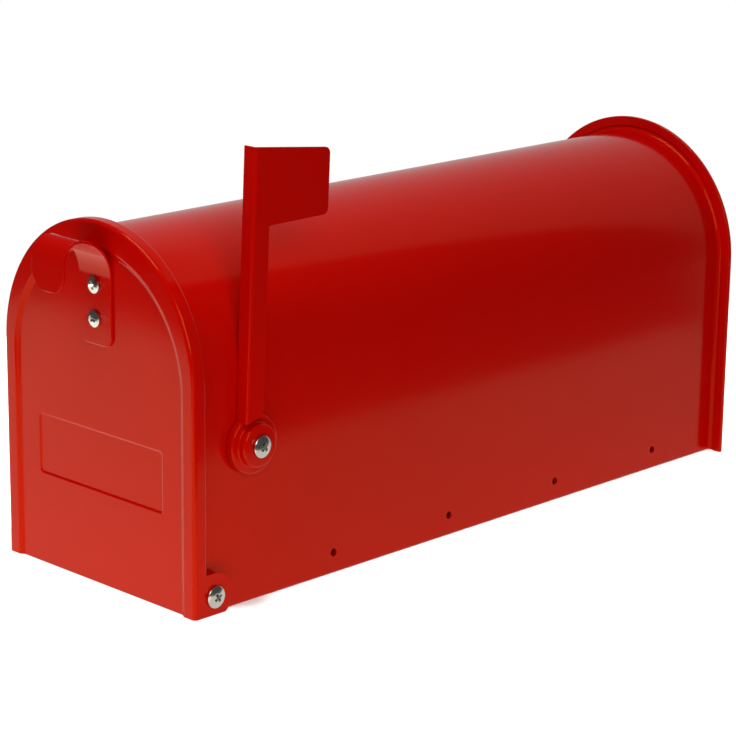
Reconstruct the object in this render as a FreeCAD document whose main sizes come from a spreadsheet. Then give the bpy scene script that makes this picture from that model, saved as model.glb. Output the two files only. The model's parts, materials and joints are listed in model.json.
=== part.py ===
"""Rural mailbox: a loaf-shaped sheet-steel box with a hinged door and a signal flag.

The origin is the middle of the floor's underside, where a mounting board seats between the skirts.
+Z is up, the door faces -Y and the flag is on the +X side. All sizes are millimetres and degrees.
"""

import FreeCAD, Part

import math
import os
from types import SimpleNamespace

import Sketcher

# Driving sizes
SIZES = {
    # body sheet
    "sheet": 0.9,
    "body_width": 156.0,
    "body_height": 214.0,
    "body_length": 485.0,
    "board_recess": 22.5,
    "seam_gap": 0.1,
    "skirt_hem": 7.0,
    "corner_radius": 11.0,
    # rear rim, where the rear panel is folded over the body's flared flange
    "rim_reach": 10.0,
    "rim_lip": 6.0,
    "rim_round": 0.8,
    "flare_radius": 3.0,
    "rear_field_inset": 16.0,
    "rear_field_rise": 2.0,
    "rear_field_round": 1.8,
    # floor
    "floor_setback": 3.0,
    "floor_lip": 6.0,
    "floor_lip_inset": 12.0,
    "floor_rear_flange": 16.0,
    "floor_relief": 12.0,
    "bend_radius": 1.8,
    # mounting holes along each skirt
    "hole_diameter": 5.0,
    "hole_rise": 13.0,
    "hole_start": 115.0,
    "hole_pitch": 101.6,
    "hole_count": 4,
    # door pan
    "door_overhang": 6.5,
    "door_lift": 1.5,
    "door_gap": 1.25,
    "door_flange": 10.0,
    "door_edge_radius": 2.4,
    "door_curl": 4.2,
    "door_curl_round": 1.9,
    "door_hem": 9.0,
    "door_hem_inset": 8.0,
    "field_inset": 11.0,
    "field_arch_drop": 5.4,
    "field_recess": 1.9,
    "field_round": 0.8,
    "label_width": 110.0,
    "label_height": 36.5,
    "label_rise": 58.4,
    "label_recess": 0.8,
    "label_corner": 2.0,
    "label_round": 0.6,
    # door hinge
    "hinge_back": 15.2,
    "hinge_rise": 12.7,
    "ear_radius": 14.0,
    "hinge_collar": 11.0,
    "hinge_hub": 7.0,
    "hinge_thread": 5.0,
    "hinge_head": 13.0,
    "hinge_head_height": 3.2,
    "hinge_nut_flats": 8.0,
    "hinge_nut_height": 4.0,
    # door pull, its heights measured down from the roof
    "pull_width": 28.0,
    "pull_sheet": 1.6,
    "pull_foot_drop": 66.5,
    "pull_bend_drop": 3.2,
    "pull_slope": 6.0,
    "pull_reach": 34.1,
    "pull_tip_drop": 29.8,
    "pull_bend_radius": 25.0,
    "pull_crest_radius": 5.0,
    "pull_tip_round": 11.0,
    "pull_foot_round": 6.0,
    "pull_screw_drop": 31.0,
    "pull_screw_pitch": 20.0,
    "pull_thread": 5.0,
    "pull_head": 10.0,
    "pull_head_height": 2.8,
    "pull_nut_flats": 8.0,
    "pull_nut_height": 4.0,
    # signal flag
    "flag_back": 47.5,
    "flag_rise": 96.3,
    "flag_lean": 2.3,
    "flag_sheet": 1.0,
    "flag_gap": 0.6,
    "foot_radius": 17.8,
    "foot_height": 5.5,
    "boss_radius": 13.0,
    "boss_height": 10.5,
    "boss_round": 1.8,
    "arm_height": 10.0,
    "arm_front": 10.7,
    "arm_width": 12.2,
    "arm_bend": 2.2,
    "arm_top": 172.6,
    "plate_length": 47.4,
    "plate_bottom": 127.3,
    "plate_bottom_rise": 2.2,
    "plate_drop": 4.5,
    "plate_corner": 4.0,
    "flag_collar": 10.0,
    "flag_hub": 7.0,
    "flag_thread": 5.0,
    "flag_head": 13.0,
    "flag_head_height": 3.2,
    "flag_nut_flats": 8.0,
    "flag_nut_height": 4.0,
    "flag_washer": 14.0,
    "flag_washer_sheet": 1.2,
    # door catch under the roof
    "catch_width": 24.0,
    "catch_length": 16.0,
    "catch_drop": 19.0,
    "catch_sheet": 1.2,
    "catch_setback": 5.0,
    "magnet_width": 20.0,
    "magnet_height": 9.0,
    "magnet_gap": 0.4,
    # shared by all screws, nuts and pivots
    "head_rim": 1.4,
    "recess_length": 5.4,
    "recess_width": 1.4,
    "recess_depth": 1.5,
    "thread_tail": 1.5,
    "running_clearance": 0.08,
    "thread_clearance": 0.05,
    "hole_clearance": 0.2,
    "pivot_play": 0.3,
}

# How near two places count as the same
NEAR = 0.01


class Size:
    """A number together with the sheet formula that gives it."""

    def __init__(self, number, formula):
        self.number = number
        self.formula = formula

    @classmethod
    def of(cls, item):
        """A plain number as a size."""
        return item if isinstance(item, cls) else cls(float(item), f"({item!r})")

    def __add__(self, other):
        other = Size.of(other)
        return Size(self.number + other.number, f"({self.formula} + {other.formula})")

    def __sub__(self, other):
        other = Size.of(other)
        return Size(self.number - other.number, f"({self.formula} - {other.formula})")

    def __mul__(self, other):
        other = Size.of(other)
        return Size(self.number * other.number, f"({self.formula} * {other.formula})")

    def __truediv__(self, other):
        other = Size.of(other)
        return Size(self.number / other.number, f"({self.formula} / {other.formula})")

    def __neg__(self):
        return Size(-self.number, f"(-{self.formula})")

    def __rsub__(self, other):
        return Size.of(other) - self

    __radd__ = __add__
    __rmul__ = __mul__


def root(square):
    """Square root of a size."""
    return Size(math.sqrt(square.number), f"sqrt({square.formula})")


def turned(function, angle):
    """Sine, cosine or tangent, by name, of a size in degrees."""
    angle = Size.of(angle)
    return Size(getattr(math, function)(math.radians(angle.number)), f"{function}({angle.formula})")


document = FreeCAD.newDocument("RuralMailbox")
cells = document.addObject("Spreadsheet::Sheet", "Sizes")
for row, (alias, number) in enumerate(SIZES.items(), start=1):
    cells.set(f"A{row}", alias)
    cells.set(f"B{row}", str(number))
    cells.setAlias(f"B{row}", alias)
document.recompute()
size = SimpleNamespace(**{alias: Size(number, f"Sizes.{alias}") for alias, number in SIZES.items()})

# Places that several pieces share
SIDE = size.body_width / 2
INSIDE = SIDE - size.sheet
SKIRT_Z = -size.board_recess
ROOF_Z = SKIRT_Z + size.body_height
ARCH_Z = ROOF_Z - SIDE
FLOOR_HALF = (size.body_length - size.floor_setback - size.seam_gap) / 2
FRONT_Y = -FLOOR_HALF - size.floor_setback
REAR_Y = FLOOR_HALF + size.seam_gap
RIM = SIDE + size.rim_reach
DOOR_HALF = SIDE + size.door_overhang
DOOR_Z = SKIRT_Z + size.door_lift
DOOR_Y = FRONT_Y - size.door_gap - size.sheet
FIELD_HALF = DOOR_HALF - size.field_inset
FIELD_Y = DOOR_Y + size.field_recess
FIELD_ARCH_Z = ARCH_Z - size.field_arch_drop
HINGE_Y = DOOR_Y + size.hinge_back
HINGE_Z = SKIRT_Z + size.hinge_rise
FLAG_Y = DOOR_Y + size.flag_back
FLAG_Z = SKIRT_Z + size.flag_rise
HOLE_Y = FRONT_Y + size.hole_start
HOLE_Z = SKIRT_Z + size.hole_rise
PULL_SCREW_Z = ROOF_Z - size.pull_screw_drop
PULL_SCREWS = (("upper", PULL_SCREW_Z), ("lower", PULL_SCREW_Z - size.pull_screw_pitch))

pieces = []


# Sketches and features
def new_body(label):
    """An empty body for one sub-part, listed for the export."""
    body = document.addObject("PartDesign::Body", label)
    body.Label = label
    pieces.append(body)
    return body


def origin_part(body, role):
    """A plane or axis of the body's own origin."""
    return next(item for item in body.Origin.OriginFeatures if item.Role == role)


def new_sketch(body, name, plane, offset=0):
    """A sketch on one of the body's origin planes, moved along the plane's normal."""
    sketch = body.newObject("Sketcher::SketchObject", f"{body.Name}_{name}_sketch")
    sketch.AttachmentSupport = [(origin_part(body, f"{plane}_Plane"), "")]
    sketch.MapMode = "FlatFace"
    sketch.setExpression("AttachmentOffset.Base.z", Size.of(offset).formula)
    return sketch


def upright_sketch(body, name, y):
    """A sketch across the box at this Y, looked at from the door's side, so its normal is -Y."""
    return new_sketch(body, name, "XZ", -y)


def pin(sketch, geometry, position, x=None, y=None):
    """Tie a point of the sketch to its place."""
    for kind, place in (("DistanceX", x), ("DistanceY", y)):
        if place is not None:
            place = Size.of(place)
            rule = Sketcher.Constraint(kind, -1, 1, geometry, position, place.number)
            sketch.setExpression(f"Constraints[{sketch.addConstraint(rule)}]", place.formula)


def point(x, y):
    """A place in a sketch as a vector."""
    return FreeCAD.Vector(Size.of(x).number, Size.of(y).number, 0)


def draw(sketch, points, arcs=None, closed=True):
    """Draw an outline through points.

    arcs maps the number of a stretch to its centre and its turn, left being anticlockwise.
    """
    arcs = arcs or {}
    places = [point(*place) for place in points]
    ends = []
    for number in range(len(points) if closed else len(points) - 1):
        start, end = places[number], places[(number + 1) % len(points)]
        if number not in arcs:
            ends.append((sketch.addGeometry(Part.LineSegment(start, end)), 1, 2))
            continue
        centre, turn = point(*arcs[number][0]), arcs[number][1]
        first, last = (start, end) if turn == "left" else (end, start)
        circle = Part.Circle(centre, FreeCAD.Vector(0, 0, 1), (start - centre).Length)
        angles = [math.atan2(place.y - centre.y, place.x - centre.x) for place in (first, last)]
        arc = sketch.addGeometry(Part.ArcOfCircle(circle, *angles))
        ends.append((arc, 1, 2) if turn == "left" else (arc, 2, 1))
    for number, (geometry, start, end) in enumerate(ends):
        if number + 1 < len(ends) or closed:
            following, following_start, _ = ends[(number + 1) % len(ends)]
            sketch.addConstraint(Sketcher.Constraint("Coincident", geometry, end, following, following_start))
        pin(sketch, geometry, start, *points[number])
    if not closed:
        pin(sketch, ends[-1][0], ends[-1][2], *points[-1])
    for number, ((x, y), _) in arcs.items():
        chord = places[(number + 1) % len(points)] - places[number]
        if abs(chord.y) > abs(chord.x):
            pin(sketch, ends[number][0], 3, x=x)
        else:
            pin(sketch, ends[number][0], 3, y=y)


def draw_circle(sketch, x, y, diameter):
    """Draw a circle with its centre and diameter tied to sizes."""
    circle = sketch.addGeometry(Part.Circle(point(x, y), FreeCAD.Vector(0, 0, 1), diameter.number / 2))
    pin(sketch, circle, 3, x, y)
    rule = sketch.addConstraint(Sketcher.Constraint("Diameter", circle, diameter.number))
    sketch.setExpression(f"Constraints[{rule}]", diameter.formula)


def draw_box(sketch, left, right, bottom, top):
    """Draw a rectangle."""
    draw(sketch, [(right, bottom), (right, top), (left, top), (left, bottom)])


def draw_arch(sketch, half, bottom, centre=ARCH_Z):
    """Draw the loaf outline: upright sides and a half-round top about the height of its centre."""
    points = [(half, bottom), (half, centre), (-half, centre), (-half, bottom)]
    draw(sketch, points, {1: ((0, centre), "left")})


def draw_arch_band(sketch, outer, inner, bottom):
    """Draw a band between two loaf outlines, open at the bottom."""
    points = [
        (outer, bottom), (outer, ARCH_Z), (-outer, ARCH_Z), (-outer, bottom),
        (-inner, bottom), (-inner, ARCH_Z), (inner, ARCH_Z), (inner, bottom),
    ]
    draw(sketch, points, {1: ((0, ARCH_Z), "left"), 5: ((0, ARCH_Z), "right")})


def extrude(body, kind, sketch, length, reverse=False, symmetric=False):
    """Pad or pocket a sketch, and stop if a pocket takes nothing away."""
    document.recompute()
    before = body.Shape.Volume if kind == "Pocket" else 0
    feature = body.newObject(f"PartDesign::{kind}", sketch.Name.replace("_sketch", ""))
    feature.Profile = sketch
    feature.setExpression("Length", length.formula)
    feature.Reversed = reverse
    if symmetric:
        feature.SideType = "Symmetric"
    document.recompute()
    if kind == "Pocket" and not body.Shape.Volume < before - NEAR:
        raise RuntimeError(f"{feature.Name} cuts nothing")
    return feature


def revolve(body, sketch):
    """Turn a sketch about its upright axis."""
    feature = body.newObject("PartDesign::Revolution", sketch.Name.replace("_sketch", ""))
    feature.Profile = sketch
    feature.ReferenceAxis = (sketch, ["V_Axis"])
    feature.Angle = 360
    document.recompute()


def fillet(body, name, radius, chosen):
    """Round the edges of the body that pass a test."""
    base = body.Tip
    edges = [f"Edge{number}" for number, edge in enumerate(base.Shape.Edges, start=1) if chosen(edge)]
    if not edges:
        raise RuntimeError(f"no edge to round for {name}")
    feature = body.newObject("PartDesign::Fillet", f"{body.Name}_{name}")
    feature.Base = (base, edges)
    feature.setExpression("Radius", radius.formula)
    document.recompute()


def lies(edge, **planes):
    """Whether an edge lies in all the given planes, such as y=DOOR_Y."""
    box = edge.BoundBox
    spans = {"x": (box.XMin, box.XMax), "y": (box.YMin, box.YMax), "z": (box.ZMin, box.ZMax)}
    return all(abs(end - place.number) < NEAR for axis, place in planes.items() for end in spans[axis])


def is_above(edge, z):
    """Whether the whole edge is above this height."""
    return edge.BoundBox.ZMin > z.number - NEAR


def on_arch(edge, y, half, centre=ARCH_Z):
    """Whether an edge is part of the loaf outline of this half width in the plane at y."""
    middle = edge.valueAt((edge.FirstParameter + edge.LastParameter) / 2)
    rise = middle.z - centre.number
    reach = math.hypot(middle.x, rise) if rise > 0 else abs(middle.x)
    return lies(edge, y=y) and abs(reach - half.number) < NEAR


def is_within(edge, half):
    """Whether the whole edge is within this half width of the middle."""
    return -half.number - NEAR < edge.BoundBox.XMin and edge.BoundBox.XMax < half.number + NEAR


def place_at(body, where, axis, angle):
    """Put a body at a place, turned about an axis."""
    angle = Size.of(angle)
    body.Placement.Rotation = FreeCAD.Rotation(FreeCAD.Vector(*axis), angle.number)
    for name, coordinate in zip("xyz", where):
        body.setExpression(f"Placement.Base.{name}", Size.of(coordinate).formula)
    body.setExpression("Placement.Rotation.Angle", angle.formula)


def drill_side_holes(body):
    """Bore the row of mounting holes through both sides."""
    first = new_sketch(body, "side_hole", "YZ")
    draw_circle(first, HOLE_Y, HOLE_Z, size.hole_diameter)
    hole = extrude(body, "Pocket", first, 2 * RIM, symmetric=True)
    row_of_holes = body.newObject("PartDesign::LinearPattern", f"{body.Name}_side_holes")
    row_of_holes.Originals = [hole]
    row_of_holes.Direction = (origin_part(body, "Y_Axis"), [""])
    row_of_holes.Mode = "Extent"
    row_of_holes.setExpression("Length", (size.hole_pitch * (size.hole_count - 1)).formula)
    row_of_holes.setExpression("Occurrences", size.hole_count.formula)
    body.Tip = row_of_holes
    document.recompute()


# Body shell
def make_body_shell():
    """One sheet bent over: sides, half-round roof, hemmed skirts and the flared rear flange."""
    body = new_body("body_shell")
    slot = INSIDE - size.sheet - size.seam_gap
    leaf = slot - size.sheet
    fold = SKIRT_Z + size.sheet
    hem = SKIRT_Z + size.skirt_hem
    outer = [(leaf, SKIRT_Z), (SIDE, SKIRT_Z), (SIDE, ARCH_Z)]
    inner = [(INSIDE, ARCH_Z), (INSIDE, fold), (slot, fold), (slot, hem), (leaf, hem)]
    points = outer + [(-x, z) for x, z in reversed(outer)] + [(-x, z) for x, z in reversed(inner)] + inner
    roof = len(outer) - 1
    ceiling = 2 * len(outer) + len(inner) - 1
    section = upright_sketch(body, "section", REAR_Y)
    draw(section, points, {roof: ((0, ARCH_Z), "left"), ceiling: ((0, ARCH_Z), "right")})
    extrude(body, "Pad", section, size.body_length)

    flange = upright_sketch(body, "rear_flange", REAR_Y)
    draw_arch_band(flange, RIM - size.sheet - size.seam_gap, INSIDE, SKIRT_Z)
    extrude(body, "Pad", flange, size.sheet)
    fillet(body, "flare", size.flare_radius, lambda edge: on_arch(edge, REAR_Y - size.sheet, SIDE))
    fillet(body, "flare_inside", size.flare_radius + size.sheet,
           lambda edge: on_arch(edge, REAR_Y, INSIDE) and is_above(edge, fold))

    drill_side_holes(body)
    hinge_holes = new_sketch(body, "hinge_holes", "YZ")
    draw_circle(hinge_holes, HINGE_Y, HINGE_Z, size.hinge_thread + 2 * size.hole_clearance)
    extrude(body, "Pocket", hinge_holes, 2 * RIM, symmetric=True)
    flag_hole = new_sketch(body, "flag_hole", "YZ")
    draw_circle(flag_hole, FLAG_Y, FLAG_Z, size.flag_thread + 2 * size.hole_clearance)
    extrude(body, "Pocket", flag_hole, RIM, reverse=True)

    corners = new_sketch(body, "front_corners", "YZ")
    inward = FRONT_Y + size.corner_radius
    upward = SKIRT_Z + size.corner_radius
    draw(corners, [(FRONT_Y, SKIRT_Z), (inward, SKIRT_Z), (FRONT_Y, upward)],
         {1: ((inward, upward), "right")})
    extrude(body, "Pocket", corners, 2 * RIM, symmetric=True)


# Floor pan
def make_floor_pan():
    """The raised floor: side flanges in the skirts' hems, a front lip and a rear flange."""
    body = new_body("floor_pan")
    outer = INSIDE - size.seam_gap / 2
    inner = outer - size.sheet
    foot = SKIRT_Z + size.sheet + size.seam_gap
    section = upright_sketch(body, "section", FLOOR_HALF)
    draw(section, [
        (inner, foot), (outer, foot), (outer, size.sheet), (-outer, size.sheet),
        (-outer, foot), (-inner, foot), (-inner, 0), (inner, 0),
    ])
    extrude(body, "Pad", section, 2 * FLOOR_HALF)
    fillet(body, "bends", size.bend_radius, lambda edge: lies(edge, x=outer, z=size.sheet)
           or lies(edge, x=-outer, z=size.sheet))
    fillet(body, "bends_inside", size.bend_radius - size.sheet, lambda edge: lies(edge, x=inner, z=Size.of(0))
           or lies(edge, x=-inner, z=Size.of(0)))

    relief = new_sketch(body, "hinge_relief", "YZ")
    draw_box(relief, FRONT_Y, HINGE_Y + size.floor_relief, SKIRT_Z, size.sheet - size.bend_radius)
    extrude(body, "Pocket", relief, 2 * SIDE, symmetric=True)

    lip_half = SIDE - size.floor_lip_inset
    lip = upright_sketch(body, "front_lip", -FLOOR_HALF)
    draw_box(lip, -lip_half, lip_half, -size.floor_lip, size.sheet)
    extrude(body, "Pad", lip, size.sheet, reverse=True)
    flange = upright_sketch(body, "rear_flange", FLOOR_HALF)
    draw_box(flange, -lip_half, lip_half, -size.floor_rear_flange, size.sheet)
    extrude(body, "Pad", flange, size.sheet)
    drill_side_holes(body)


# Rear panel
def make_rear_panel():
    """The stamped rear plate, its edge folded forward over the body's flange."""
    body = new_body("rear_panel")
    fold = REAR_Y - 2 * size.sheet - size.seam_gap
    back = REAR_Y + size.sheet
    plate = upright_sketch(body, "plate", REAR_Y)
    draw_arch(plate, RIM, SKIRT_Z)
    extrude(body, "Pad", plate, size.sheet, reverse=True)
    wall = upright_sketch(body, "rim_wall", fold)
    draw_arch_band(wall, RIM, RIM - size.sheet, SKIRT_Z)
    extrude(body, "Pad", wall, back - fold, reverse=True)
    lip = upright_sketch(body, "rim_lip", fold)
    draw_arch_band(lip, RIM, RIM - size.rim_lip, SKIRT_Z)
    extrude(body, "Pad", lip, size.sheet, reverse=True)

    field_half = RIM - size.rear_field_inset
    field_z = SKIRT_Z + size.rear_field_inset
    field = upright_sketch(body, "field", back)
    draw_arch(field, field_half, field_z)
    extrude(body, "Pad", field, size.rear_field_rise, reverse=True)
    dish = upright_sketch(body, "field_inside", REAR_Y)
    draw_arch(dish, field_half - size.sheet, field_z + size.sheet)
    extrude(body, "Pocket", dish, size.rear_field_rise)
    fillet(body, "field_edge", size.rear_field_round, lambda edge: lies(edge, y=back + size.rear_field_rise))
    fillet(body, "rim_edges", size.rim_round,
           lambda edge: on_arch(edge, fold, RIM) or on_arch(edge, back, RIM))


# Door
def make_door_panel():
    """The stamped door pan: face, sunken field and label panel, curled flange and hinge ears."""
    body = new_body("door_panel")
    inner = DOOR_HALF - size.sheet
    back = DOOR_Y + size.door_flange
    face = upright_sketch(body, "face", DOOR_Y)
    draw_arch(face, DOOR_HALF, DOOR_Z)
    extrude(body, "Pad", face, size.sheet, reverse=True)
    flange = upright_sketch(body, "flange", DOOR_Y)
    draw_arch_band(flange, DOOR_HALF, inner, DOOR_Z)
    extrude(body, "Pad", flange, size.door_flange, reverse=True)
    fillet(body, "edge", size.door_edge_radius, lambda edge: on_arch(edge, DOOR_Y, DOOR_HALF))
    fillet(body, "edge_inside", size.door_edge_radius - size.sheet,
           lambda edge: on_arch(edge, DOOR_Y + size.sheet, inner))

    curl = back - size.door_curl
    curl_half = DOOR_HALF - size.door_curl
    ear_top = HINGE_Z + size.ear_radius
    bead = upright_sketch(body, "curl", curl)
    draw_arch_band(bead, DOOR_HALF, curl_half, ear_top)
    extrude(body, "Pad", bead, size.door_curl, reverse=True)
    fillet(body, "curl_edges", size.door_curl_round, lambda edge: is_above(edge, ear_top) and (
        on_arch(edge, back, DOOR_HALF) or on_arch(edge, back, curl_half) or on_arch(edge, curl, curl_half)))

    ear_drop = size.hinge_rise - size.door_lift
    ear_run = root(size.ear_radius * size.ear_radius - ear_drop * ear_drop)
    ear_front = DOOR_Y + size.door_edge_radius
    for side, name in ((1, "right"), (-1, "left")):
        ear = new_sketch(body, f"ear_{name}", "YZ", side * inner)
        outline = [(ear_front, DOOR_Z), (HINGE_Y + ear_run, DOOR_Z), (HINGE_Y, ear_top), (ear_front, ear_top)]
        draw(ear, outline, {1: ((HINGE_Y, HINGE_Z), "left")})
        extrude(body, "Pad", ear, size.sheet, reverse=side < 0)

    pan = upright_sketch(body, "field_back", DOOR_Y)
    draw_arch(pan, FIELD_HALF + size.sheet, DOOR_Z, FIELD_ARCH_Z)
    extrude(body, "Pad", pan, size.field_recess + size.sheet, reverse=True)
    field = upright_sketch(body, "field", DOOR_Y)
    draw_arch(field, FIELD_HALF, DOOR_Z, FIELD_ARCH_Z)
    extrude(body, "Pocket", field, size.field_recess)
    fillet(body, "field_edge", size.field_round,
           lambda edge: on_arch(edge, DOOR_Y, FIELD_HALF, FIELD_ARCH_Z))
    field_back = FIELD_Y + size.sheet

    label_half = size.label_width / 2
    label_z = SKIRT_Z + size.label_rise
    label_top = label_z + size.label_height
    label_back = upright_sketch(body, "label_back", FIELD_Y)
    back_half = label_half + size.sheet
    draw_box(label_back, -back_half, back_half, label_z - size.sheet, label_top + size.sheet)
    extrude(body, "Pad", label_back, size.label_recess + size.sheet, reverse=True)
    label = upright_sketch(body, "label", FIELD_Y)
    draw_box(label, -label_half, label_half, label_z, label_top)
    extrude(body, "Pocket", label, size.label_recess)
    fillet(body, "label_corners", size.label_corner, lambda edge: any(
        lies(edge, x=side * label_half, z=z) for side in (1, -1) for z in (label_z, label_top)))
    fillet(body, "label_edge", size.label_round,
           lambda edge: lies(edge, y=FIELD_Y) and is_within(edge, label_half))

    hem_half = SIDE - size.door_hem_inset
    hem = upright_sketch(body, "lower_hem", field_back)
    draw_box(hem, -hem_half, hem_half, DOOR_Z, DOOR_Z + size.door_hem)
    extrude(body, "Pad", hem, size.sheet, reverse=True)

    hinge_holes = new_sketch(body, "hinge_holes", "YZ")
    draw_circle(hinge_holes, HINGE_Y, HINGE_Z, size.hinge_hub + 2 * size.running_clearance)
    extrude(body, "Pocket", hinge_holes, 2 * RIM, symmetric=True)
    pull_holes = upright_sketch(body, "pull_holes", FIELD_Y)
    for _, height in PULL_SCREWS:
        draw_circle(pull_holes, 0, height, size.pull_thread + 2 * size.hole_clearance)
    extrude(body, "Pocket", pull_holes, 2 * size.sheet)


def make_door_pull():
    """A strap screwed to the door, bent forward and down into a finger tongue."""
    body = new_body("door_pull")
    middle = FIELD_Y - size.pull_sheet / 2
    front = middle - size.pull_reach
    foot = ROOF_Z - size.pull_foot_drop
    tip = ROOF_Z - size.pull_tip_drop
    bend = ROOF_Z - size.pull_bend_drop
    crest = bend + size.pull_reach * turned("tan", size.pull_slope)
    bend_run = size.pull_bend_radius * turned("tan", (90 - size.pull_slope) / 2)
    crest_run = size.pull_crest_radius * turned("tan", (90 + size.pull_slope) / 2)
    forward = turned("cos", size.pull_slope)
    upward = turned("sin", size.pull_slope)
    path = new_sketch(body, "path", "YZ")
    draw(path, [
        (middle, foot),
        (middle, bend - bend_run),
        (middle - bend_run * forward, bend + bend_run * upward),
        (front + crest_run * forward, crest - crest_run * upward),
        (front, crest - crest_run),
        (front, tip),
    ], {
        1: ((middle - size.pull_bend_radius, bend - bend_run), "left"),
        3: ((front + size.pull_crest_radius, crest - crest_run), "left"),
    }, closed=False)
    strip = new_sketch(body, "strip", "XY", foot)
    corner = size.pull_width / 2
    draw_box(strip, -corner, corner, FIELD_Y - size.pull_sheet, FIELD_Y)
    document.recompute()
    bent = body.newObject("PartDesign::AdditivePipe", "door_pull_bent")
    bent.Profile = strip
    bent.Spine = (path, [f"Edge{number + 1}" for number in range(path.GeometryCount)])
    document.recompute()
    for name, radius, height in (("tip", size.pull_tip_round, tip), ("foot", size.pull_foot_round, foot)):
        fillet(body, name, radius,
               lambda edge: lies(edge, x=corner, z=height) or lies(edge, x=-corner, z=height))
    holes = upright_sketch(body, "screw_holes", FIELD_Y - size.pull_sheet)
    for _, height in PULL_SCREWS:
        draw_circle(holes, 0, height, size.pull_thread + 2 * size.hole_clearance)
    extrude(body, "Pocket", holes, size.pull_sheet)


# Signal flag
def make_flag():
    """One stamping: round foot with a raised boss, angle-section arm and plate, drawn about its pivot."""
    body = new_body("flag")
    front = -size.arm_front
    rear = size.arm_width - size.arm_front
    inside = size.foot_radius - size.flag_sheet
    foot_top = size.foot_height - size.flag_sheet

    def height_on(radius, across):
        """Height of a circle about the pivot at a distance across from it."""
        return root(radius * radius - across * across)

    foot = new_sketch(body, "foot", "YZ", size.flag_gap)
    draw_circle(foot, 0, 0, 2 * size.foot_radius)
    extrude(body, "Pad", foot, size.foot_height - size.flag_gap)

    web = new_sketch(body, "web", "YZ", size.arm_height)
    tip = size.plate_length
    web_foot = [(front, height_on(size.foot_radius, front)), (rear, height_on(size.foot_radius, rear))]
    draw(web, web_foot + [
        (rear, size.plate_bottom), (tip, size.plate_bottom + size.plate_bottom_rise),
        (tip, size.arm_top - size.plate_drop), (front, size.arm_top),
    ], {0: ((0, 0), "right")})
    extrude(body, "Pad", web, size.flag_sheet, reverse=True)
    fillet(body, "plate_corners", size.plate_corner,
           lambda edge: lies(edge, y=tip) and edge.Length < size.flag_sheet.number + NEAR)

    strip = new_sketch(body, "strip", "YZ", size.flag_gap)
    strip_back = front + size.flag_sheet
    draw_box(strip, front, strip_back, height_on(inside, strip_back), size.arm_top)
    extrude(body, "Pad", strip, size.arm_height - size.flag_gap)
    step = new_sketch(body, "step", "YZ", foot_top)
    draw(step, web_foot + [(rear, height_on(inside, rear)), (front, height_on(inside, front))],
         {0: ((0, 0), "right"), 2: ((0, 0), "left")})
    extrude(body, "Pad", step, size.arm_height - foot_top)

    boss = new_sketch(body, "boss", "YZ", foot_top)
    draw_circle(boss, 0, 0, 2 * size.boss_radius)
    extrude(body, "Pad", boss, size.boss_height - foot_top)
    fillet(body, "boss_edge", size.boss_round, lambda edge: lies(edge, x=size.boss_height))
    boss_top = size.boss_height - size.flag_sheet
    hollows = (
        ("foot_inside", 2 * inside, foot_top - size.flag_gap),
        ("boss_inside", 2 * (size.boss_radius - size.flag_sheet), boss_top - size.flag_gap),
        ("pivot_hole", size.flag_hub + 2 * size.running_clearance, size.boss_height),
    )
    for name, diameter, depth in hollows:
        hollow = new_sketch(body, name, "YZ", size.flag_gap)
        draw_circle(hollow, 0, 0, diameter)
        extrude(body, "Pocket", hollow, depth, reverse=True)
    fillet(body, "arm_bend", size.arm_bend, lambda edge: lies(edge, x=size.arm_height, y=front))
    place_at(body, (SIDE, FLAG_Y, FLAG_Z), (-1, 0, 0), size.flag_lean)


# Fasteners
def of_kind(kind, name):
    """A size that each kind of fastener has."""
    return getattr(size, f"{kind}_{name}")


def make_screw(label, kind, grip, where, axis):
    """A pan-head screw with a cross recess, drawn head up with its seat at zero, then turned."""
    body = new_body(label)
    radius = of_kind(kind, "head") / 2
    shank = of_kind(kind, "thread") / 2
    top = of_kind(kind, "head_height")
    crown = top - size.head_rim
    dome = (radius * radius + crown * crown) / (2 * crown)
    end = -(grip + of_kind(kind, "nut_height") + size.thread_tail)
    profile = new_sketch(body, "profile", "XZ")
    draw(profile, [(0, end), (shank, end), (shank, 0), (radius, 0), (radius, size.head_rim), (0, top)],
         {4: ((0, top - dome), "left")})
    revolve(body, profile)
    arm = size.recess_length / 2
    slot = size.recess_width / 2
    quarter = [(slot, slot), (slot, arm), (-slot, arm)]
    points = []
    for _ in range(4):
        points += quarter
        quarter = [(-y, x) for x, y in quarter]
    recess = new_sketch(body, "recess", "XY", top)
    draw(recess, points)
    extrude(body, "Pocket", recess, size.recess_depth)
    place_at(body, where, axis, 90)


def make_nut(label, kind, where, axis):
    """A plain hexagon nut, drawn lying flat, then turned."""
    body = new_body(label)
    corner = of_kind(kind, "nut_flats") / 2 / turned("cos", 30)
    outline = new_sketch(body, "outline", "XY")
    draw(outline, [(corner * turned("cos", angle), corner * turned("sin", angle))
                   for angle in range(0, 360, 60)])
    draw_circle(outline, 0, 0, of_kind(kind, "thread") + 2 * size.thread_clearance)
    extrude(body, "Pad", outline, of_kind(kind, "nut_height"))
    place_at(body, where, axis, 90)


def make_ring(label, kind, steps, where, axis):
    """A turned ring, each step a diameter and the height where it ends, then turned to its axis."""
    body = new_body(label)
    hole = of_kind(kind, "thread") / 2 + size.thread_clearance
    points = [(hole, 0)]
    base = 0
    for diameter, end in steps:
        points += [(diameter / 2, base), (diameter / 2, end)]
        base = end
    profile = new_sketch(body, "profile", "XZ")
    draw(profile, points + [(hole, base)])
    revolve(body, profile)
    place_at(body, where, axis, 90)


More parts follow.
